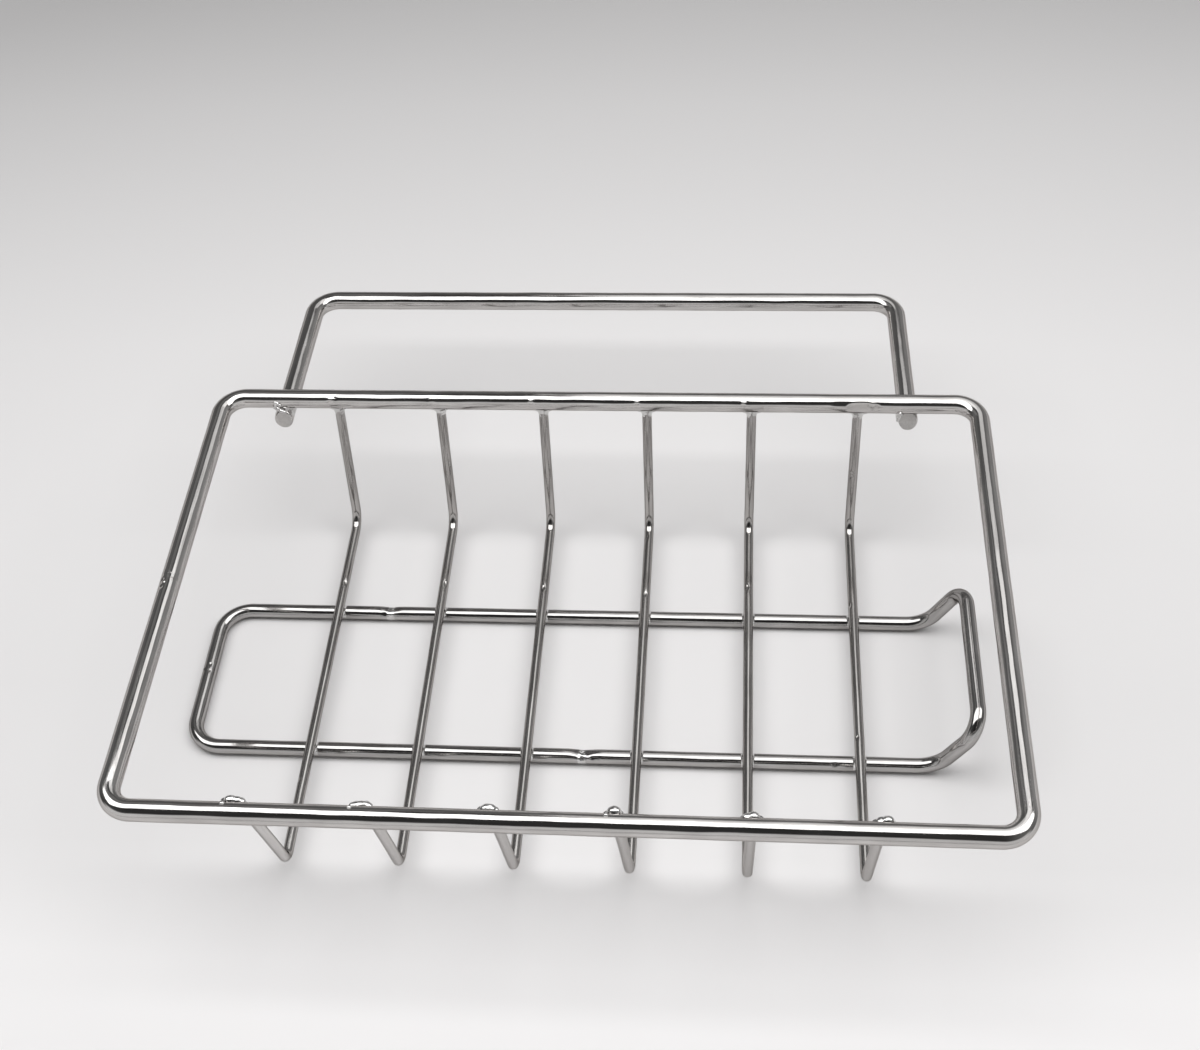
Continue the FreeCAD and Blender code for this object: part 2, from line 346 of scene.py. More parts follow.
def mesh_object(name, verts, faces, places, cuts):
    """A smooth mesh object from millimetre points."""
    mesh = bpy.data.meshes.new(name)
    mesh.from_pydata((np.array(verts) * MM).tolist(), [], [tuple(int(i) for i in face) for face in faces])
    mesh.polygons.foreach_set("use_smooth", [True] * len(mesh.polygons))
    on_wire = mesh.attributes.new("wire_place", "FLOAT_VECTOR", "POINT")
    on_wire.data.foreach_set("vector", np.array(places, np.float32).ravel())
    cut_face = mesh.attributes.new("cut_face", "FLOAT", "POINT")
    cut_face.data.foreach_set("value", np.array(cuts, np.float32))
    mesh.validate()
    mesh.set_sharp_from_angle(angle=SHARP_TURN)
    piece = bpy.data.objects.new(name, mesh)
    bpy.context.scene.collection.objects.link(piece)
    return piece


def ring_mesh(name, runs):
    """One mesh object from closed runs of rings; a run is its skin, its places and its cut rings."""
    verts, faces, places, cuts = [], [], [], []
    for skin, place, *cut in runs:
        count, sides = skin.shape[:2]
        base = len(verts)
        verts.extend(skin.reshape(-1, 3))
        places.extend(place.reshape(-1, 3))
        cuts.extend(np.repeat(cut[0] if cut else np.zeros(count), sides))
        for k in range(count - 1):
            for j in range(sides):
                a, b = base + k * sides + j, base + k * sides + (j + 1) % sides
                faces.append((a, b, b + sides, a + sides))
        for row, turn in ((0, -1), (count - 1, 1)):
            hub = len(verts)
            verts.append(skin[row].mean(0))
            places.append(place[row].mean(0))
            cuts.append(cuts[base + row * sides])
            for j in range(sides):
                a, b = base + row * sides + j, base + row * sides + (j + 1) % sides
                faces.append((a, b, hub) if turn > 0 else (b, a, hub))
    return mesh_object(name, verts, faces, places, cuts)


print("edges sharper than", round(math.degrees(SHARP_TURN)), "degrees stay sharp")

# %% Settle each piece on the frame
def settle(piece, slot, *nodes):
    """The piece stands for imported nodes, rides on the one body and takes its finish from a slot."""
    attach(piece, "root")
    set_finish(piece, slot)
    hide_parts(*nodes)
    print(piece.name, "has", len(piece.data.polygons), "faces")
    return piece


print("every piece rides on the root")

# %% [markdown]
# ## The top rim
# The rim is one thick wire, bent to a rounded rectangle, whose ends were butt welded half-way along
# the left side. Its rear bar carries the marks of the welding tip: flats, pits and raised burrs beside
# the cradle wires. The joint itself shows as a cluster of pits and two blisters, ground almost flush.
# In the list, a mark has its place, its facing, its length, a dent also its width, and its depth.

# %% The rim's marks
RIM_BEND = 4.8
BUTT_HALF = 0.7
REAR_BAR = np.array([0.0, rim_rear, rim_z])


def on_rear_bar(wire, shift):
    """A place on the rear bar's middle, beside one of the six cradle wires."""
    return REAR_BAR + (cradle_x[wire - 1] + shift, 0, 0)


joint = np.array([rim_left, 0.0, rim_z])
rim_marks = [
    flat(on_rear_bar(1, 0.9), (0, -0.96, -0.05), 2.6, 0.16),
    dent(on_rear_bar(1, -1.0), (0, -0.76, 0.65), 0.6, 0.35, -0.14),
    dent(on_rear_bar(1, -0.1), (0, -0.60, 0.80), 0.4, 0.30, 0.10),
    dent(on_rear_bar(2, -1.3), (0, -0.68, 0.73), 0.45, 0.32, -0.15),
    dent(on_rear_bar(2, -2.0), (0, -0.60, 0.80), 0.40, 0.30, 0.06),
    flat(on_rear_bar(2, -4.0), (0, -0.72, 0.69), 3.0, 0.03),
    dent(on_rear_bar(3, -2.2), (0, -0.72, 0.69), 0.45, 0.32, -0.15),
    flat(on_rear_bar(3, 0.3), (0, -0.85, 0.45), 2.6, 0.06),
    dent(on_rear_bar(4, -1.9), (0, -0.71, 0.70), 0.42, 0.32, -0.15),
    dent(on_rear_bar(5, -1.7), (0, -0.70, 0.71), 0.42, 0.32, -0.15),
    dent(on_rear_bar(5, -1.1), (0, -0.62, 0.78), 0.40, 0.30, 0.06),
    flat(on_rear_bar(5, 0.6), (0, -0.93, 0.20), 2.4, 0.08),
    flat(on_rear_bar(6, 0.9), (0, -0.93, 0.36), 3.5, 0.36),
    dent(on_rear_bar(6, 2.6), (0, -0.72, 0.69), 0.55, 0.32, -0.13),
    flat(on_rear_bar(6, -2.9), (0, -0.78, 0.62), 3.2, 0.11),
    dent(joint + (0, -1.8, 0), (-0.60, 0, 0.80), 0.80, 0.55, 0.16),
    dent(joint + (0, -2.3, 0), (-0.40, 0, 0.92), 0.40, 0.32, 0.16),
    dent(joint + (0, -1.8, 0), (-0.62, 0, 0.78), 0.30, 0.30, -0.18),
    dent(joint + (0, -1.1, 0), (-0.30, 0, 0.95), 0.38, 0.32, -0.18),
    dent(joint + (0, -0.6, 0), (-0.55, 0, 0.83), 0.45, 0.40, 0.22),
]
print(len(rim_marks), "marks on the rim")

# %% Bend the rim
FINE_END = 0.12
UP = (0, 0, 1)
THICK = (rim_radius, UP, 44)


def bare_wire(name, corners, bends, gauge, marks, seed, end_round=FINE_END, slants=(0, 0)):
    """One wire as a mesh; its gauge is its radius, the way its first spoke points and its sides."""
    skin, place, middles, ways = wire_skin(corners, bends, *gauge, marks, seed)
    return ring_mesh(name, [close_ends(skin, place, middles, ways, end_round, slants)])


rim_corners = [(rim_left, BUTT_HALF, rim_z), (rim_left, rim_rear, rim_z), (rim_right, rim_rear, rim_z),
               (rim_right, rim_front, rim_z), (rim_left, rim_front, rim_z), (rim_left, -BUTT_HALF, rim_z)]
rim_wire = bare_wire("rim_wire", rim_corners, [RIM_BEND] * 4, THICK, rim_marks, 1)
settle(rim_wire, "polished_wire", "top_rim")

# %% [markdown]
# ## The base loop
# The holder stands on a loop of middle wire, made of two halves. The left half lies flat. The right
# one turns up at its end, which stops the sponge from sliding out over the open side. The halves meet
# in two butt welds, where the hot wire sank in on top and left a notch.

# %% The base loop's marks
rear_butt = np.array([right_low[0] - BUTT_HALF, rail_rear, rail_z])
front_butt = np.array([left_high[0] + BUTT_HALF, rail_front, rail_z])
base_marks = [
    dent(rear_butt + (-0.4, 0, 0), (0, 0.35, 0.94), 1.5, 1.1, 0.42),
    dent(rear_butt + (1.5, 0, 0), (0, 0.20, 0.98), 0.5, 0.5, 0.16),
    dent(rear_butt + (0.3, 0, 0), (0, -0.66, 0.75), 0.8, 0.4, -0.12),
    dent(rear_butt + (-1.2, 0, 0), (0, -0.65, 0.76), 0.5, 0.4, 0.14),
    dent(front_butt + (0.2, 0, 0), (0, 0.30, 0.95), 1.8, 1.1, 0.55),
    dent(front_butt + (0.7, 0, 0), (0, -0.05, 0.99), 0.4, 0.35, -0.16),
    dent(front_butt + (-0.5, 0, 0), (0, -0.40, 0.92), 0.4, 0.40, 0.20),
    dent(front_butt + (-0.1, 0, 0), (0, -0.72, 0.69), 0.45, 0.45, 0.24),
    dent(front_butt + (1.3, 0, 0), (0, -0.70, 0.71), 0.35, 0.3, -0.10),
    dent(front_butt + (2.2, 0, 0), (0, -0.72, 0.69), 0.5, 0.3, 0.10),
    dent(front_butt + (3.4, 0, 0), (0, -0.75, 0.66), 0.4, 0.3, 0.08),
    dent((cradle_x[5] - 4.7, rail_front, rail_z), (0, -0.70, 0.71), 0.40, 0.32, 0.14),
    dent((loop_left, 2.0, rail_z), (-0.70, 0, 0.71), 0.35, 0.30, -0.14),
    dent((loop_left, 2.9, rail_z), (0.10, 0, 0.99), 0.50, 0.30, 0.14),
    dent((loop_left, 1.4, rail_z), (0.20, 0, 0.98), 0.40, 0.30, 0.12),
]
print(len(base_marks), "marks on the base loop")

# %% The base loop's halves
BASE_BEND = 6.0
STOP_FOOT = 68.7
STOP_BEND = 5.0
FOOT_BEND = 6.5
MIDDLE = (base_radius, UP, 36)
left_corners = [(rear_butt[0] - BUTT_HALF, rail_rear, rail_z), (loop_left, rail_rear, rail_z),
                (loop_left, rail_front, rail_z), (front_butt[0] - BUTT_HALF, rail_front, rail_z)]
right_corners = [(rear_butt[0] + BUTT_HALF, rail_rear, rail_z), (STOP_FOOT, rail_rear, rail_z),
                 (stop_reach, rail_rear, stop_top), (stop_reach, rail_front, stop_top),
                 (STOP_FOOT, rail_front, rail_z), (front_butt[0] + BUTT_HALF, rail_front, rail_z)]
left_half = bare_wire("base_left_wire", left_corners, [BASE_BEND] * 2, MIDDLE, base_marks, 2)
settle(left_half, "polished_wire", "base_loop_left")
right_half = bare_wire("base_right_wire", right_corners, [FOOT_BEND, STOP_BEND, STOP_BEND, FOOT_BEND],
                       MIDDLE, base_marks, 3)
settle(right_half, "polished_wire", "base_loop_right")

# %% [markdown]
# ## The rear hanger
# A U of thick wire is welded under the rear of the rim and leans a little down. Its legs were cropped
# by a shear at a slant, so each end is a disc with a rolled-over edge that looks a little upward, and
# it shows in front of the rim. The right leg was cropped shorter and set a little further right.

# %% The hanger with its cropped ends
HANGER_BEND = 5.0
HANGER_ENDS = (2.7, 1.3)
HANGER_SLANTS = (14, 22)
RIGHT_SET = 0.5
CROPPED_ROUND = 0.35
PRESSED_IN = 0.25
leg_height = rim_z - 2 * rim_radius + PRESSED_IN
lean = unit((0, bar_y - rim_rear, bar_z - leg_height))
leg_starts = [np.array([x, rim_rear, leg_height]) - lean * (end - CROPPED_ROUND)
              for x, end in zip((hanger_left, hanger_right + RIGHT_SET), HANGER_ENDS)]
hanger_corners = [leg_starts[0], (hanger_left, bar_y, bar_z), (hanger_right, bar_y, bar_z), leg_starts[1]]
hanger_marks = [
    dent(leg_starts[0] + (0, 1.0, 0), (-0.8, 0, 0.6), 0.6, 0.7, 0.12),
    dent(leg_starts[1] + (0, 0.8, 0), (-0.9, 0, 0.2), 0.5, 0.5, 0.10),
]
hanger_wire = bare_wire("hanger_wire", hanger_corners, [HANGER_BEND] * 2, THICK, hanger_marks, 4,
                        CROPPED_ROUND, HANGER_SLANTS)
settle(hanger_wire, "polished_wire", "rear_hanger")

# %% [markdown]
# ## The cradle
# Six thin wires hang in the rim. Each is bent twice to a flat-bottomed U that leans outward, is butted
# up under the rear bar, and stands inside the front bar. A row of nicks, a few millimetres behind the
# rear rail, is where the welding jig held them. The front legs ended up a little to one side, each by
# its own amount, so the six wires differ in that and in their nicks.

# %% Where the cradle wires turn
REAR_LEAN = 7.1
FRONT_LEAN = 7.6
REAR_SUNK = 1.2
END_RISE = -2.2
rear_foot = rim_rear - REAR_LEAN
front_foot = rim_front + FRONT_LEAN
front_top = rim_front + rim_radius + cradle_radius - PRESSED_IN
front_way = (front_top - front_foot) / (rim_z - cradle_floor)


def cradle_corners(x, front_set):
    """A wire's corners, from inside the rear bar's underside to its end behind the front bar."""
    return [(x, rim_rear - REAR_LEAN * REAR_SUNK / (rim_z - cradle_floor), rim_z - REAR_SUNK),
            (x, rear_foot, cradle_floor),
            (x, front_foot, cradle_floor),
            (x + front_set, front_top + front_way * END_RISE, rim_z + END_RISE)]


print("the cradle's floor is", round(rear_foot - front_foot, 1), "mm deep")

# %% The cradle wires
REAR_BEND = 4.4
FRONT_BEND = 2.2
THIN = (cradle_radius, (1, 0, 0), 36)
FRONT_SET = [-1.0, -0.6, -0.7, -1.1, 0.3, 0.45]
JIG_NICKS = [(5.6, 0.41), (5.9, 0.43), (5.2, -0.09), (4.1, 0.08), (6.3, -0.31), (2.5, -0.73)]
JIG_SIZE = (0.62, 0.36, 0.22)
NICK_SIZE = (0.45, 0.30, 0.15)
loose_nicks = {
    1: [dent((cradle_x[0], -24.5, cradle_floor), (-0.80, 0, 0.60), *NICK_SIZE)],
    4: [dent((cradle_x[3], 37.4, cradle_floor), (-0.25, 0, 0.97), *NICK_SIZE)],
    6: [dent((cradle_x[5], 45.0, 18.2), (-0.33, -0.92, 0.21), *NICK_SIZE),
        dent((cradle_x[5], -11.8, cradle_floor), (-0.51, 0, 0.86), *NICK_SIZE)],
}
for i, (x, front_set, (back, side)) in enumerate(zip(cradle_x, FRONT_SET, JIG_NICKS), start=1):
    facing = (side, 0, math.sqrt(1 - side * side))
    nicks = [dent((x, rail_rear + back, cradle_floor), facing, *JIG_SIZE), *loose_nicks.get(i, [])]
    wire = bare_wire(f"cradle_thin_wire_{i}", cradle_corners(x, front_set), [REAR_BEND, FRONT_BEND],
                     THIN, nicks, 10 + i)
    settle(wire, "polished_wire", f"cradle_wire_{i}")

# %% [markdown]
# ## Butt welds
# Between two wire ends lies a slice of metal that was molten. It is a short run of rings like the wire
# itself, with the same marks pressed in, so that notch and pits carry on over the joint. Its own noise
# is coarser, because it froze and was never drawn through a die. The rim's slice was ground, so it is
# much smoother than the two of the base loop.

# %% The three butt welds
GROUND_WAVE = 0.03
FROZEN_WAVE = 0.12
BUTT_LAP = 0.9
BUTT_ROWS = 17
BUTT_SIDES = 48
BUTT_GRAIN = 2.2
BUTT_GRAIN_ALONG = 1.6
BUTT_SUNK = 0.03
BUTT_WAIST = 0.01


def butt_slice(at, way, radius, marks, wave_size, seed):
    """Rings of a slice between two wire ends, a little rougher than the wire."""
    reach = BUTT_HALF + FINE_END * BUTT_LAP
    rows = np.linspace(-reach, reach, BUTT_ROWS)
    middles = np.array([at + np.array(way, float) * row for row in rows])
    ways = np.repeat([np.array(way, float)], len(rows), axis=0)
    skin = np.zeros((BUTT_ROWS, BUTT_SIDES, 3))
    across = np.cross(way, UP)
    for k, row in enumerate(rows):
        for j in range(BUTT_SIDES):
            turn = j * 2 * math.pi / BUTT_SIDES
            top, flank = math.cos(turn), math.sin(turn)
            out = np.array(UP) * top + across * flank
            spot = (top * BUTT_GRAIN, flank * BUTT_GRAIN, row * BUTT_GRAIN_ALONG + seed)
            swell = 1 - (row / reach) ** 2
            wave = wave_size * noise.noise(Vector(spot)) - BUTT_WAIST
            skin[k, j] = middles[k] + out * (radius - BUTT_SUNK + swell * wave)
    place = skin.copy()
    press(marks, skin, middles, ways, radius)
    return skin, place


rim_butt = ring_mesh("rim_butt_slice", [
    butt_slice(joint, (0, 1, 0), rim_radius, rim_marks, GROUND_WAVE, 3.1)])
settle(rim_butt, "weld_metal", "rim_butt_weld")
base_butts = ring_mesh("base_butt_slices", [
    butt_slice(rear_butt, (1, 0, 0), base_radius, base_marks, FROZEN_WAVE, 7.7),
    butt_slice(front_butt, (1, 0, 0), base_radius, base_marks, FROZEN_WAVE, 9.2)])
settle(base_butts, "weld_metal", "base_loop_butt_welds")

# %% [markdown]
# ## Fillets where wires cross
# Molten metal is drawn into the corner between two wires and freezes there as a hollow fillet. Its
# surface is found by rays from the lower wire's middle: each stops where a soft blend of the two wires
# ends. The skin can be skimmed a few hundredths below the bare wires, and then it shows only in the
# corner. It is closed underneath, inside the lower wire, and hides in the upper one.

# %% Find the edge of a soft blend
HALVINGS = 18


def soft_union(near, far, blend):
    """A blend of two distances that fills the corner between them."""
    share = max(blend - abs(near - far), 0.0) / blend
    return min(near, far) - share * share * blend / 4


def line_gap(spot, middle, way):
    """How far a spot lies from a straight wire's middle line."""
    offset = spot - middle
    return np.linalg.norm(offset - way * (offset @ way))


def ray_reach(middle, out, low, high, is_metal):
    """How far a ray from a wire's middle stays in metal, found by halving the way between two reaches."""
    for _ in range(HALVINGS):
        test = (low + high) / 2
        low, high = (test, high) if is_metal(middle + out * test, test) else (low, test)
    return low


print("a blend of 1 mm fills its corner by", -soft_union(0, 0, 1.0), "mm")

# %% Lay a fillet between two crossing wires
FILLET_ROWS = 29
FILLET_WRAP = math.radians(105)
FILLET_TURNS = np.linspace(-FILLET_WRAP, FILLET_WRAP, 35)
FILLET_WAVE = 0.05
FILLET_GRAIN = 1.3
FILLET_FLOOR = 0.82
FLOOR_STEP = 4
RAY_FROM = 0.7
RAY_PAST = 1.2
FILLET_CEILING = 0.95
BRIM_SHARE = 0.2
BRIM_SUNK = 0.12


def fillet(lower, lower_way, lower_radius, upper, upper_way, upper_radius, blend, reach, skim, seed):
    """Rings round the lower wire's top that rise to the upper wire; closed inside the lower wire."""
    lower_way, upper_way = unit(lower_way), unit(upper_way)
    up = upper - lower
    up = unit(up - lower_way * (up @ lower_way))
    across = np.cross(lower_way, up)
    outs = [up * math.cos(turn) + across * math.sin(turn) for turn in FILLET_TURNS]
    inner, outer = lower_radius * RAY_FROM, lower_radius + upper_radius * RAY_PAST
    ceiling = lower_radius + upper_radius * FILLET_CEILING

    def is_metal(spot, away):
        gap = soft_union(away - lower_radius, line_gap(spot, upper, upper_way) - upper_radius, blend)
        wave = noise.noise(Vector(spot * FILLET_GRAIN) + Vector((seed, 0, 0)))
        return gap < (FILLET_WAVE - skim) * wave - skim

    skins = []
    for row in np.linspace(-reach, reach, FILLET_ROWS):
        middle = lower + lower_way * row
        ring = []
        for turn, out in zip(FILLET_TURNS, outs):
            found = ray_reach(middle, out, inner, outer, is_metal)
            edge = max(abs(row) / reach, abs(turn) / FILLET_WRAP)
            sunk = BRIM_SUNK * max(0.0, (edge - (1 - BRIM_SHARE)) / BRIM_SHARE)
            ring.append(middle + out * (min(found, ceiling) - sunk))
        floor = [middle + out * lower_radius * FILLET_FLOOR for out in outs[::-FLOOR_STEP]]
        skins.append(ring + floor)
    skin = np.array(skins)
    return skin, skin.copy()


print("a fillet has", FILLET_ROWS, "rings")

# %% Fillets on the base rails
CROSS_BLEND = 0.9
CROSS_REACH = 1.5
CROSS_SKIM = 0.03
cross_fillets = ring_mesh("base_cross_fillets", [
    fillet(np.array([x, y, rail_z]), (1, 0, 0), base_radius, np.array([x, y, cradle_floor]), (0, 1, 0),
           cradle_radius, CROSS_BLEND, CROSS_REACH, CROSS_SKIM, 5.0 * i + k)
    for i, x in enumerate(cradle_x) for k, y in enumerate((rail_rear, rail_front))])
settle(cross_fillets, "weld_metal", "base_cross_welds")

# %% [markdown]
# ## Melted metal
# Where a weld was not held in a corner, its metal drew together into lumps. Soft balls of different
# sizes are laid together, melted into one skin by a voxel remesh and smoothed, which is close to what
# the metal did. A ball is given by its middle and its half sizes, so it can also be a flat cake.

# %% Melt balls into one skin
MELT_VOXEL = 0.09
MELT_WAVE = 0.07
MELT_GRAIN = 1.2
RELAX_TIMES = 8


def melted(balls, middle, seed):
    """A closed skin round a few balls, as millimetre points and faces."""
    work = bmesh.new()
    for ball in balls:
        spot = Matrix.Translation(middle + np.array(ball[:3])) @ Matrix.Diagonal((*ball[3:], 1))
        bmesh.ops.create_icosphere(work, subdivisions=4, radius=1.0, matrix=spot)
    mesh = bpy.data.meshes.new("lump")
    work.to_mesh(mesh)
    work.free()
    lump = bpy.data.objects.new("lump", mesh)
    bpy.context.scene.collection.objects.link(lump)
    melt = lump.modifiers.new("melt", "REMESH")
    melt.mode = "VOXEL"
    melt.voxel_size = MELT_VOXEL
    relax = lump.modifiers.new("relax", "SMOOTH")
    relax.factor = 0.5
    relax.iterations = RELAX_TIMES
    made = bpy.data.meshes.new_from_object(lump.evaluated_get(bpy.context.evaluated_depsgraph_get()))
    verts = np.array([v.co for v in made.vertices])
    for k, v in enumerate(made.vertices):
        wave = noise.noise(v.co * MELT_GRAIN + Vector((seed, 0, 0)))
        verts[k] += np.array(v.normal) * MELT_WAVE * wave
    faces = [tuple(face.vertices) for face in made.polygons]
    bpy.data.objects.remove(lump)
    bpy.data.meshes.remove(mesh)
    bpy.data.meshes.remove(made)
    return verts, faces


def melted_mesh(name, lumps):
    """One mesh object from several melted lumps, each with its balls, its middle and its seed."""
    verts, faces = [], []
    for balls, middle, seed in lumps:
        points, corners = melted(balls, np.array(middle, float), seed)
        base = len(verts)
        verts.extend(points)
        faces.extend(tuple(base + v for v in corner) for corner in corners)
    return mesh_object(name, verts, faces, verts, np.zeros(len(verts)))


print("lumps are melted at", MELT_VOXEL, "mm")

# %% [markdown]
# ## The hanger's welds
# Each leg is welded under the rear bar in two steps: a narrow fillet in the corner, and a bright bead
# that ran out to the front at the left of the leg. The fillet is found by rays, the bead is melted
# from balls. The left bead is the larger one and slants down across its leg.

# %% Fillets and beads under the rear bar
HANGER_BLEND = 0.7
FILLET_RUNS = [(0.1, 2.1), (1.1, 1.3)]
hanger_spots = [np.array([x, rim_rear, leg_height]) for x in (hanger_left, hanger_right)]
hanger_fillets = ring_mesh("hanger_fillets", [
    fillet(spot + lean * back, lean, rim_radius, spot + (0, 0, rim_z - leg_height), (1, 0, 0), rim_radius,
           HANGER_BLEND, reach, 0.0, 90.0 + k)
    for k, (spot, (back, reach)) in enumerate(zip(hanger_spots, FILLET_RUNS))])
settle(hanger_fillets, "weld_metal", "hanger_welds")
BEAD_BALLS = [
    [(-1.1, -1.87, 4.5, 0.40, 0.42, 0.38), (-0.65, -1.95, 4.2, 0.46, 0.42, 0.40),
     (-0.2, -2.02, 3.85, 0.42, 0.40, 0.36), (-1.1, -1.9, 3.8, 0.40, 0.40, 0.45),
     (-1.3, -1.85, 3.4, 0.50, 0.50, 0.42), (-0.75, -2.15, 2.95, 0.56, 0.48, 0.44),
     (-0.1, -2.35, 2.5, 0.58, 0.48, 0.44), (0.5, -2.4, 2.2, 0.50, 0.44, 0.40)],
    [(-1.4, -2.05, 3.0, 0.48, 0.45, 0.55), (-1.5, -2.00, 2.3, 0.48, 0.46, 0.60),
     (-1.6, -1.85, 1.5, 0.46, 0.46, 0.55), (-1.65, -1.65, 0.8, 0.40, 0.44, 0.50)],
]
hanger_beads = melted_mesh("hanger_beads", [
    (balls, spot, 40.0 + k) for k, (balls, spot) in enumerate(zip(BEAD_BALLS, hanger_spots))])
settle(hanger_beads, "weld_metal", "hanger_welds")

# %% [markdown]
# ## Collars under the rear bar
# Each thin wire was pushed up against the rear bar while hot, so its end spread into a small collar.
# Rays from the thin wire's middle find the blend with the bar, ring by ring, up into the bar. A little
# noise and one pit on the front keep the six from looking alike.

# %% The rear collars
COLLAR_RUN = (-3.6, -1.2)
COLLAR_ROWS = 15
COLLAR_SIDES = 40
COLLAR_BLEND = 1.3
COLLAR_RAYS = (0.6, 2.1)
COLLAR_WAVE = 0.09
COLLAR_GRAIN = 1.1
PIT_ALONG = -2.9
PIT_DEEP = 0.16
PIT_WIDE = 0.35
FOOT_SUNK = 0.1
FOOT_ROWS = 3
ACROSS_BAR = np.array([1.0, 0, 0])


def collar(x, seed):
    """Rings of a collar round a thin wire's upper end."""
    top = REAR_BAR + (x, 0, 0)
    way = unit(top - (x, rear_foot, cradle_floor))
    across = np.cross(way, ACROSS_BAR)
    front = across if across[1] < 0 else -across
    pit = top + way * PIT_ALONG + front * cradle_radius
    inner, outer = (cradle_radius * share for share in COLLAR_RAYS)

    def is_metal(spot, away):
        bar_gap = line_gap(spot, top, ACROSS_BAR) - rim_radius
        gap = soft_union(away - cradle_radius, bar_gap, COLLAR_BLEND)
        wave = noise.noise(Vector(spot * COLLAR_GRAIN) + Vector((seed, 0, 0)))
        return gap < COLLAR_WAVE * wave - PIT_DEEP * math.exp(-(np.linalg.norm(spot - pit) / PIT_WIDE) ** 2)

    skin = np.zeros((COLLAR_ROWS, COLLAR_SIDES, 3))
    for k, row in enumerate(np.linspace(*COLLAR_RUN, COLLAR_ROWS)):
        middle = top + way * row
        sunk = FOOT_SUNK * max(0.0, 1 - k / FOOT_ROWS)
        for j in range(COLLAR_SIDES):
            turn = j * 2 * math.pi / COLLAR_SIDES
            out = ACROSS_BAR * math.cos(turn) + across * math.sin(turn)
            skin[k, j] = middle + out * (ray_reach(middle, out, inner, outer, is_metal) - sunk)
    return skin, skin.copy()


rear_collars = ring_mesh("rear_collars", [collar(x, 31.0 * i) for i, x in enumerate(cradle_x, start=1)])
settle(rear_collars, "weld_metal", "rear_wall_welds")

# %% [markdown]
# ## Lumps behind the front bar
# In front the thin wires end beside the bar, and the weld melted each end to a shiny lump that spreads
# along the bar. Each lump is a flat cake with a dome or two on it, and three of the six have a small
# nub where the metal ran out to the left. They are melted as the beads were, each from its own balls.

# %% The six front lumps
LUMP_BACK = 0.95
LUMP_UP = 0.70
LUMP_ROOT = [(0.0, 0.65, -1.2, 1.0, 0.75, 0.9), (0.0, 1.1, -2.4, 1.1, 1.05, 0.8)]
LUMP_BALLS = [
    [(-0.4, 0.1, 0.0, 2.2, 0.9, 0.6), (-0.8, 0.2, 0.2, 1.1, 0.85, 0.75),
     (0.4, 0.15, 0.1, 0.9, 0.75, 0.6), (-1.9, -0.95, 1.0, 0.55, 0.45, 0.40)],
    [(-0.3, 0.05, -0.1, 2.1, 0.85, 0.6), (-0.1, 0.15, 0.05, 1.3, 0.65, 0.55),
     (-1.9, -1.05, 1.05, 0.48, 0.4, 0.38)],
    [(0.0, 0.15, 0.0, 1.4, 0.85, 0.70), (-0.1, 0.0, -0.2, 1.9, 0.9, 0.5)],
    [(0.0, 0.2, 0.2, 1.2, 0.95, 0.85), (-0.1, 0.0, -0.3, 1.8, 0.9, 0.5),
     (-1.25, -1.0, 1.0, 0.5, 0.42, 0.4)],
    [(0.2, 0.15, 0.05, 1.0, 0.85, 0.75), (-0.5, 0.05, -0.1, 1.1, 0.85, 0.6),
     (-0.1, 0.0, -0.3, 2.0, 0.85, 0.5)],
    [(0.4, 0.15, 0.05, 1.1, 0.85, 0.8), (-0.4, 0.05, -0.1, 1.2, 0.85, 0.6),
     (-0.2, 0.0, -0.3, 2.0, 0.8, 0.5)],
]
front_lumps = melted_mesh("front_lumps", [
    (balls + LUMP_ROOT, (x + set_by, rim_front + LUMP_BACK * rim_radius, rim_z + LUMP_UP), 13.0 * i)
    for i, (x, set_by, balls) in enumerate(zip(cradle_x, FRONT_SET, LUMP_BALLS))])
settle(front_lumps, "weld_metal", "front_wall_welds")

# %% [markdown]
# ## Shared bench marks on all finishes
# The wire and the weld metal were polished and handled together, so both show fine scratches along the
# wire, cloudy patches and specks. One node group makes these from a place on the piece, and each
# finish sets its own scale and feeds the results to its own shader.

# %% A short way to add nodes
def socket_of(node, name):
    """An input by its number, written i0, i1 and so on, or by its name with _ for each space."""
    if name[0] == "i" and name[1:].isdigit():
        return node.inputs[int(name[1:])]
    return node.inputs[name.replace("_", " ")]


def add(tree, kind, settings=None, **inputs):
    """A node with its settings and input values, or links where a socket is given."""
    made = tree.nodes.new(kind)
    for name, value in (settings or {}).items():
        setattr(made, name, value)
    for name, value in inputs.items():
        socket = socket_of(made, name)
        if isinstance(value, bpy.types.NodeSocket):
            tree.links.new(value, socket)
        else:
            socket.default_value = value
    return made


def worked_out(tree, operation, first, second):
    """One sum on two values or sockets."""
    return add(tree, "ShaderNodeMath", {"operation": operation}, i0=first, i1=second).outputs[0]


def between(tree, value, start, end, low=0.0, high=1.0, rise="LINEAR"):
    """A value that goes from low to high while another goes from start to end."""
    return add(tree, "ShaderNodeMapRange", {"interpolation_type": rise}, Value=value, From_Min=start,
               From_Max=end, To_Min=low, To_Max=high).outputs[0]


print("a node is added with its inputs in one call")

# %% The bench marks group
MARK_KINDS = ("Scratches", "Clouds", "Specks", "Height")
SPECK_RUN = (0.16, 0.05)


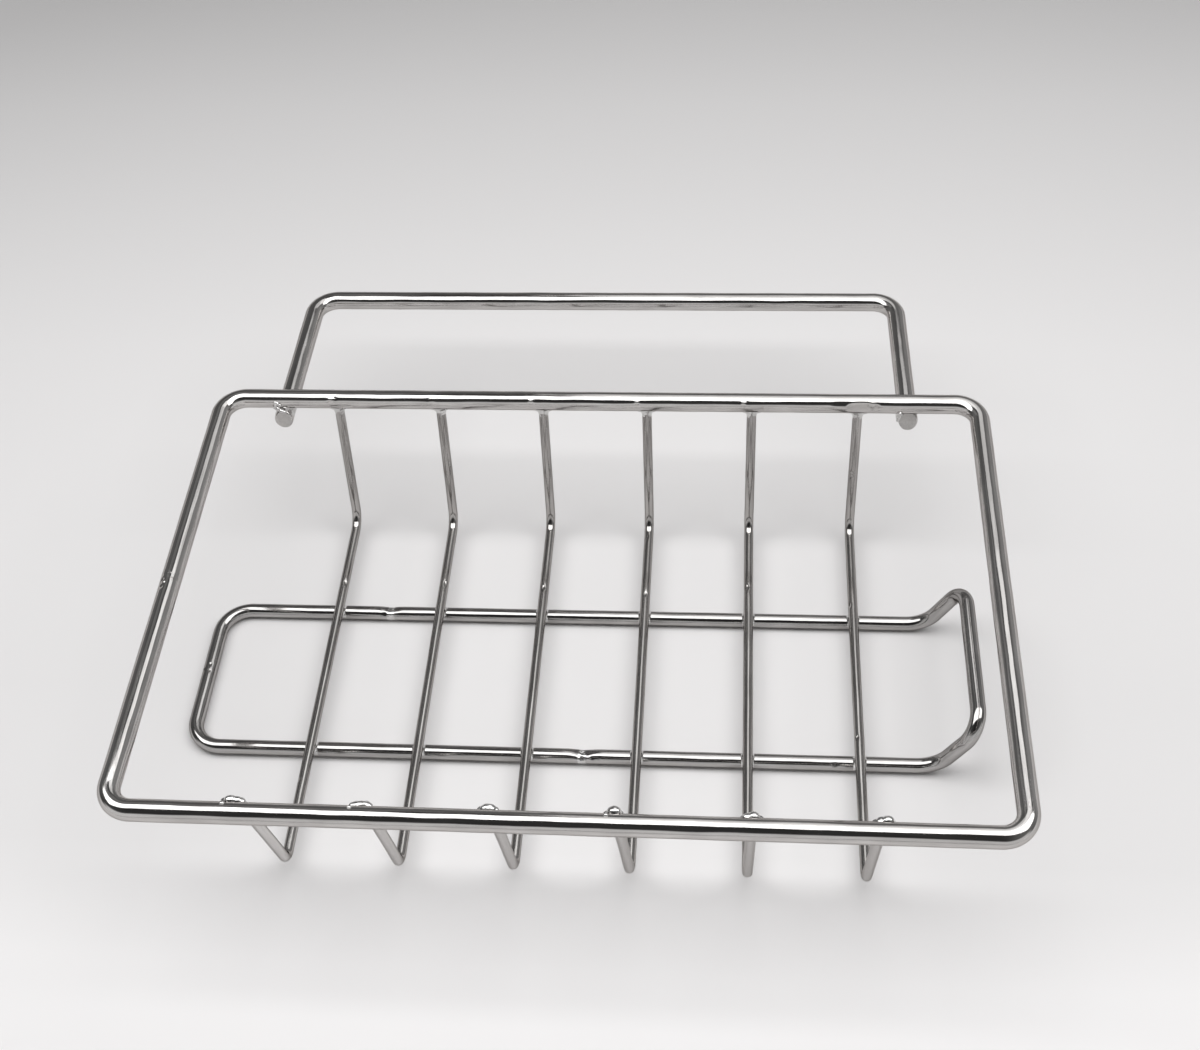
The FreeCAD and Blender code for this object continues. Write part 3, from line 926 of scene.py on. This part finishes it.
def bench_marks_group():
    """Scratches, clouds and specks from a place on the piece, and the height that they make."""
    group = bpy.data.node_groups.new("bench_marks", "ShaderNodeTree")
    for name, kind in (("Place", "NodeSocketVector"), ("Scratch Scale", "NodeSocketFloat"),
                       ("Speck Scale", "NodeSocketFloat")):
        group.interface.new_socket(name, in_out="INPUT", socket_type=kind)
    for name in MARK_KINDS:
        group.interface.new_socket(name, in_out="OUTPUT", socket_type="NodeSocketFloat")
    given = group.nodes.new("NodeGroupInput").outputs
    result = group.nodes.new("NodeGroupOutput")
    drawn = add(group, "ShaderNodeMapping", Vector=given["Place"], Scale=(1.0, 1.0, 0.04))
    scratch = add(group, "ShaderNodeTexNoise", Vector=drawn.outputs[0], Scale=given["Scratch Scale"],
                  Detail=4.0, Roughness=0.6).outputs[0]
    patches = add(group, "ShaderNodeMapping", Vector=given["Place"], Scale=(0.5, 0.5, 0.14))
    cloud = add(group, "ShaderNodeTexNoise", Vector=patches.outputs[0], Scale=1.0, Detail=3.0).outputs[0]
    cells = add(group, "ShaderNodeTexVoronoi", Vector=given["Place"], Scale=given["Speck Scale"],
                Randomness=1.0)
    speck = between(group, cells.outputs["Distance"], *SPECK_RUN)
    speckled = worked_out(group, "MULTIPLY", speck, cloud)
    height = worked_out(group, "SUBTRACT", scratch, speckled)
    for name, socket in zip(MARK_KINDS, (scratch, cloud, speckled, height)):
        group.links.new(socket, result.inputs[name])
    return group


bench_marks = bench_marks_group()
print("bench marks give", [s.name for s in bench_marks.interface.items_tree if s.in_out == "OUTPUT"])

# %% [markdown]
# ## Three finishes for the wire
# The wire is polished and plated, so almost all that one sees in it is its surroundings. The shader is
# plain metal. Scratches from the drawing die vary its roughness along the wire, and scratches and
# clouds together vary its grey. The base loop gets darker greys than the rim and the hanger, and a darker
# grey seen edge-on, as painted shade for the dim paper that its low rails mirror. The thin wires get the
# same edge grey and darker, browner greys as painted shade, and a duller gloss, apart from their front
# legs, which get a pale painted reflection. So one recipe gets three sets of values. Where a wire was
# cropped, the cut face is rough.

# %% What all metal here shares
SCRATCH_RUN = (0.3, 0.7)


def marked_metal(name, scratch_scale, speck_scale):
    """A new material of plain metal, with its tree and the outputs of the bench marks in it."""
    finish = bpy.data.materials.new(name)
    finish.use_nodes = True
    tree = finish.node_tree
    tree.nodes["Principled BSDF"].inputs["Metallic"].default_value = 1.0
    place = add(tree, "ShaderNodeAttribute", {"attribute_name": "wire_place"})
    marks = add(tree, "ShaderNodeGroup", {"node_tree": bench_marks}, Place=place.outputs["Vector"],
                Scratch_Scale=scratch_scale, Speck_Scale=speck_scale)
    return finish, tree, marks.outputs


def surface(tree, colour, rough, height, strength, distance):
    """Link a metal's colour, roughness and fine relief to its shader."""
    bump = add(tree, "ShaderNodeBump", Strength=strength, Distance=distance, Height=height)
    shader = tree.nodes["Principled BSDF"]
    tree.links.new(colour, shader.inputs["Base Color"])
    tree.links.new(rough, shader.inputs["Roughness"])
    tree.links.new(bump.outputs[0], shader.inputs["Normal"])


def two_greys(tree, tone, greys, ends):
    """A ramp from a dark to a light grey, between two ends of the tone."""
    ramp = add(tree, "ShaderNodeValToRGB", Fac=tone)
    for stop, end, grey in zip(ramp.color_ramp.elements, ends, greys):
        stop.position = end
        stop.color = grey
    return ramp.outputs[0]


print("all metal takes its marks from", bench_marks.name)

# %% The recipe for drawn wire
CUT_ROUGH = 0.5
LEG_REFLECTION_RUN = (0.4, -1.2)


def painted_leg_reflection(tree, colour, leg_reflection_grey):
    """The colour with a pale painted reflection on the front legs, which start where the floor ends."""
    spot = add(tree, "ShaderNodeTexCoord")
    along = add(tree, "ShaderNodeSeparateXYZ", Vector=spot.outputs["Object"])
    leg = between(tree, along.outputs["Y"], *((front_foot + step) * MM for step in LEG_REFLECTION_RUN))
    return add(tree, "ShaderNodeMix", {"data_type": "RGBA"}, i0=leg, i6=colour, i7=leg_reflection_grey).outputs[2]


def wire_finish(name, greys, gloss, edge, leg_reflection_grey=None):
    """Drawn wire: a dark and a light grey, the roughness where bright and dull, the grey seen edge-on, and a
    pale painted reflection grey for the front legs if given.
    """
    finish, tree, marks = marked_metal(name, scratch_scale=2.4, speck_scale=0.55)
    tone = add(tree, "ShaderNodeMix", Factor=0.5, i2=marks["Clouds"], i3=marks["Scratches"])
    colour = two_greys(tree, tone.outputs[0], greys, ends=(0.38, 0.62))
    if leg_reflection_grey:
        colour = painted_leg_reflection(tree, colour, leg_reflection_grey)
    rubbed = between(tree, marks["Scratches"], *SCRATCH_RUN, *gloss)
    cut = add(tree, "ShaderNodeAttribute", {"attribute_name": "cut_face"})
    sheared = worked_out(tree, "MULTIPLY", cut.outputs["Fac"], CUT_ROUGH)
    rough = worked_out(tree, "MAXIMUM", rubbed, sheared)
    surface(tree, colour, rough, marks["Height"], strength=0.35, distance=0.00001)
    tree.nodes["Principled BSDF"].inputs["Specular Tint"].default_value = edge
    return finish


print("cut faces have a roughness of at least", CUT_ROUGH)

# %% The three wire finishes
BRIGHT_GREYS = ((0.48, 0.464, 0.454, 1), (0.60, 0.584, 0.572, 1))
# The base loop's darker greys are painted shade: they dim the paper mirrored in its low rails.
BASE_SHADE_GREYS = ((0.34, 0.330, 0.323, 1), (0.46, 0.448, 0.440, 1))
# The thin wires' darker, browner greys are painted shade for the dim paper under the basket that they
# mirror.
THIN_SHADE_GREYS = ((0.35, 0.336, 0.326, 1), (0.46, 0.445, 0.433, 1))
# The front legs' pale grey is a painted reflection of the bright paper in front of them.
LEG_REFLECTION_GREY = (0.82, 0.805, 0.795, 1)
LIGHT_EDGE = (0.54, 0.522, 0.510, 1)
# This darker grey seen edge-on, used on the base loop and the thin wires, is painted shade as well.
SHADE_EDGE_GREY = (0.40, 0.388, 0.378, 1)
BRIGHT_GLOSS = (0.07, 0.16)
THIN_GLOSS = (0.09, 0.18)
bright_wire = wire_finish("bright_wire", BRIGHT_GREYS, BRIGHT_GLOSS, LIGHT_EDGE)
base_wire = wire_finish("base_wire", BASE_SHADE_GREYS, BRIGHT_GLOSS, SHADE_EDGE_GREY)
thin_wire = wire_finish("thin_wire", THIN_SHADE_GREYS, THIN_GLOSS, SHADE_EDGE_GREY, LEG_REFLECTION_GREY)
wire_kinds = {"cradle": thin_wire, "base": base_wire}
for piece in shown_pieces():
    if piece.get("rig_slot") == "polished_wire":
        piece.data.materials.append(wire_kinds.get(piece.name.split("_")[0], bright_wire))

# %% [markdown]
# ## Weld metal
# A weld froze without being drawn or rolled. It is the same metal under the same plating, but lumpier
# and cloudier, with dark specks of scale. Its greys are lighter than the wire's, as a painted reflection
# that brightens the welds. The shared group works here on the place in the room. The rim's joint was
# ground and polished with its wire, so it keeps the wire's finish.

# %% The weld finish
# These greys are lighter than the wire's: a painted reflection that brightens the welds.
WELD_SHEEN_GREYS = ((0.50, 0.492, 0.484, 1), (0.74, 0.732, 0.724, 1))
SCALE_GREY = (0.30, 0.29, 0.28, 1)
WELD_GLOSS = (0.08, 0.26)


def weld_metal():
    """Frozen metal with specks of scale, in greys lightened as a painted reflection."""
    finish, tree, marks = marked_metal("frozen_weld", scratch_scale=1.1, speck_scale=1.6)
    grey = two_greys(tree, marks["Clouds"], WELD_SHEEN_GREYS, ends=(0.3, 0.65))
    scale = add(tree, "ShaderNodeMix", {"data_type": "RGBA"}, i0=marks["Specks"], i6=grey, i7=SCALE_GREY)
    dull = between(tree, marks["Scratches"], *SCRATCH_RUN, *WELD_GLOSS)
    surface(tree, scale.outputs[2], dull, marks["Height"], strength=0.5, distance=0.00003)
    return finish


weld_finish = weld_metal()
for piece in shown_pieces():
    if piece.get("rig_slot") == "weld_metal":
        piece.data.materials.append(bright_wire if piece is rim_butt else weld_finish)

# %% [markdown]
# ## The table
# The holder stands on pale paper whose grey is painted shade: darker under the holder, darker still
# towards the rear, where the light falls off, and lighter in front. Far out, the paper glows a little,
# but only for rays that look at it, straight or in the wire. So low views end in a pale background, and
# no more light falls on the holder. The paper is one disc of faces, marked as stage, so that it isn't
# taken for a part of the holder.

# %% The paper's finish
PAPER_RUN = (-0.10, 0.30)
# These greys are painted shade: darker under the holder, darker still towards the rear where the light falls
# off, and lighter in front.
PAPER_SHADE_GREYS = [(0.0, 0.90), (0.10, 0.90), (0.16, 0.79), (0.25, 0.755), (0.5, 0.75), (0.75, 0.675),
               (1.0, 0.54)]
PAPER_TINT = (1.0, 0.985, 0.985, 1)
FAR_PAPER = 0.62
FAR_RUN = (0.31, 0.54)


def looked_at(tree):
    """1 for rays that show a surface to the camera, straight or mirrored, and 0 for rays of light."""
    ray = add(tree, "ShaderNodeLightPath").outputs
    mirrored = worked_out(tree, "MAXIMUM", ray["Is Glossy Ray"], ray["Is Transmission Ray"])
    return worked_out(tree, "MAXIMUM", ray["Is Camera Ray"], mirrored)


def paper_finish():
    """Matt paper whose greys, changing from the front to the rear, are painted shade, with a glow far out.
    """
    finish = bpy.data.materials.new("pale_paper")
    finish.use_nodes = True
    tree = finish.node_tree
    shader = tree.nodes["Principled BSDF"]
    place = add(tree, "ShaderNodeTexCoord").outputs["Object"]
    along = add(tree, "ShaderNodeSeparateXYZ", Vector=place)
    fade = add(tree, "ShaderNodeValToRGB", Fac=between(tree, along.outputs["Y"], *PAPER_RUN))
    stops = fade.color_ramp.elements
    for share, grey in PAPER_SHADE_GREYS:
        ends = {0.0: stops[0], 1.0: stops[-1]}
        stop = ends[share] if share in ends else stops.new(share)
        stop.color = [grey * tint for tint in PAPER_TINT[:3]] + [1]
    away = add(tree, "ShaderNodeVectorMath", {"operation": "LENGTH"}, i0=place).outputs["Value"]
    far = between(tree, away, *FAR_RUN, 0.0, FAR_PAPER, "SMOOTHSTEP")
    glow = worked_out(tree, "MULTIPLY", far, looked_at(tree))
    tree.links.new(fade.outputs[0], shader.inputs["Base Color"])
    tree.links.new(glow, shader.inputs["Emission Strength"])
    shader.inputs["Emission Color"].default_value = PAPER_TINT
    shader.inputs["Roughness"].default_value = 0.9
    shader.inputs["Specular IOR Level"].default_value = 0.1
    return finish


pale_paper = paper_finish()
print("paper in", len(PAPER_SHADE_GREYS), "greys")

# %% A paper disc
PAPER_REACH = 4.0
work = bmesh.new()
bmesh.ops.create_circle(work, cap_ends=True, segments=96, radius=PAPER_REACH)
disc = bpy.data.meshes.new("paper")
work.to_mesh(disc)
work.free()
disc.materials.append(pale_paper)
paper = bpy.data.objects.new("paper", disc)
bpy.context.scene.collection.objects.link(paper)
paper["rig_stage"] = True
print("paper of", PAPER_REACH, "m on the table")

# %% [markdown]
# ## Light
# Four flat panels hang at one height. A long strip overhead makes the white bands in the wire. Two
# dimmer panels behind it make the grey ones, and a faint card on the left lifts the left sides of the
# bars out of black. The dark bands between them are the dim room, so the world is kept low. It is paler
# behind and on the right, and has a bright card low in front, which the bars mirror below their dark
# band. A thin pale ring closes the gap between the paper and the walls, for looked-at rays only.
# A lamp is given by its place, its width and depth in metres, and its glow.

# %% Four lamps
LAMP_HEIGHT = 0.375


def soft_lamp(name, x, y, width, depth, glow):
    """A flat soft lamp that shines down; glow is how bright its face looks, where 1 is white paper."""
    panel = bpy.data.lights.new(name, "AREA")
    panel.shape = "RECTANGLE"
    panel.size, panel.size_y = width, depth
    panel.energy = math.pi * glow * width * depth
    lamp = bpy.data.objects.new(name, panel)
    lamp.location = (x, y, LAMP_HEIGHT)
    bpy.context.scene.collection.objects.link(lamp)
    print(name, "of", round(panel.energy, 2), "W")


soft_lamp("strip_lamp", 0.0, 0.01, 0.90, 0.25, 3.15)
soft_lamp("rear_lamp_near", 0.08, 0.21, 0.24, 0.13, 1.35)
soft_lamp("rear_lamp_far", 0.08, 0.39, 0.28, 0.23, 0.75)
soft_lamp("left_card", -0.235, 0.27, 0.22, 0.26, 0.14)

# %% The dim room
world = bpy.data.worlds.new("dim_room")
world.use_nodes = True
bpy.context.scene.world = world
room = world.node_tree
direction = add(room, "ShaderNodeTexCoord")
towards = add(room, "ShaderNodeSeparateXYZ", Vector=direction.outputs["Generated"])


def room_glow(axis, start, end, low, high):
    """How bright the room is along one axis: low before the start, high past the end."""
    return between(room, towards.outputs[axis], start, end, low, high, "SMOOTHSTEP")


def joined(operation, first, *others):
    """The same sum over a row of levels."""
    for other in others:
        first = worked_out(room, operation, first, other)
    return first


rear_wall = joined("MULTIPLY", room_glow("Y", -0.15, 0.6, 0.0, 0.16), room_glow("Z", 0.4, 0.85, 1.0, 0.25),
                   room_glow("X", -0.5, 0.15, 0.55, 1.0))
side_walls = joined("ADD", room_glow("X", 0.1, 0.8, 0.04, 0.18), room_glow("X", -0.3, -0.9, 0.0, 0.04))
front_card = joined("MULTIPLY", room_glow("Y", -0.05, -0.45, 0.0, 1.0), room_glow("Z", 0.50, 0.28, 0.0, 0.8))
low_ring = joined("MULTIPLY", room_glow("Z", 0.12, 0.05, 0.0, FAR_PAPER), looked_at(room))
level = joined("MAXIMUM", joined("ADD", rear_wall, side_walls), front_card, low_ring)
room.links.new(level, room.nodes["Background"].inputs["Color"])
bpy.context.scene.view_settings.view_transform = "Standard"
print("a room of", len(room.nodes), "nodes")

# %% [markdown]
# ## Camera
# The photograph was taken from above the front edge, a little to the right, with a lens of normal
# length. The place and tilt below were fitted to the bars of the holder.

# %% The camera
CAMERA_PLACE = (0.02789, -0.17346, 0.26549)
CAMERA_TILT = (39.515, 3.084, 3.679)
view = bpy.data.cameras.new("camera")
view.lens = 46.5
view.sensor_width = 36.0
view.clip_start = 0.01
camera = bpy.data.objects.new("camera", view)
camera.location = CAMERA_PLACE
camera.rotation_euler = [math.radians(angle) for angle in CAMERA_TILT]
bpy.context.scene.collection.objects.link(camera)
bpy.context.scene.camera = camera
print("camera", [round(c, 3) for c in camera.location])

# %% [markdown]
# ## Size
# The box of the skin and the box of the imported solids are printed side by side.

# %% Print the boxes and finish
bpy.context.view_layer.update()
seen_box = [list(corner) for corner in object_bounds()]
for name, box in (("cad", cad_box), ("seen", seen_box)):
    print(name, "box in mm", np.round(np.array(box) / MM, 2).tolist())
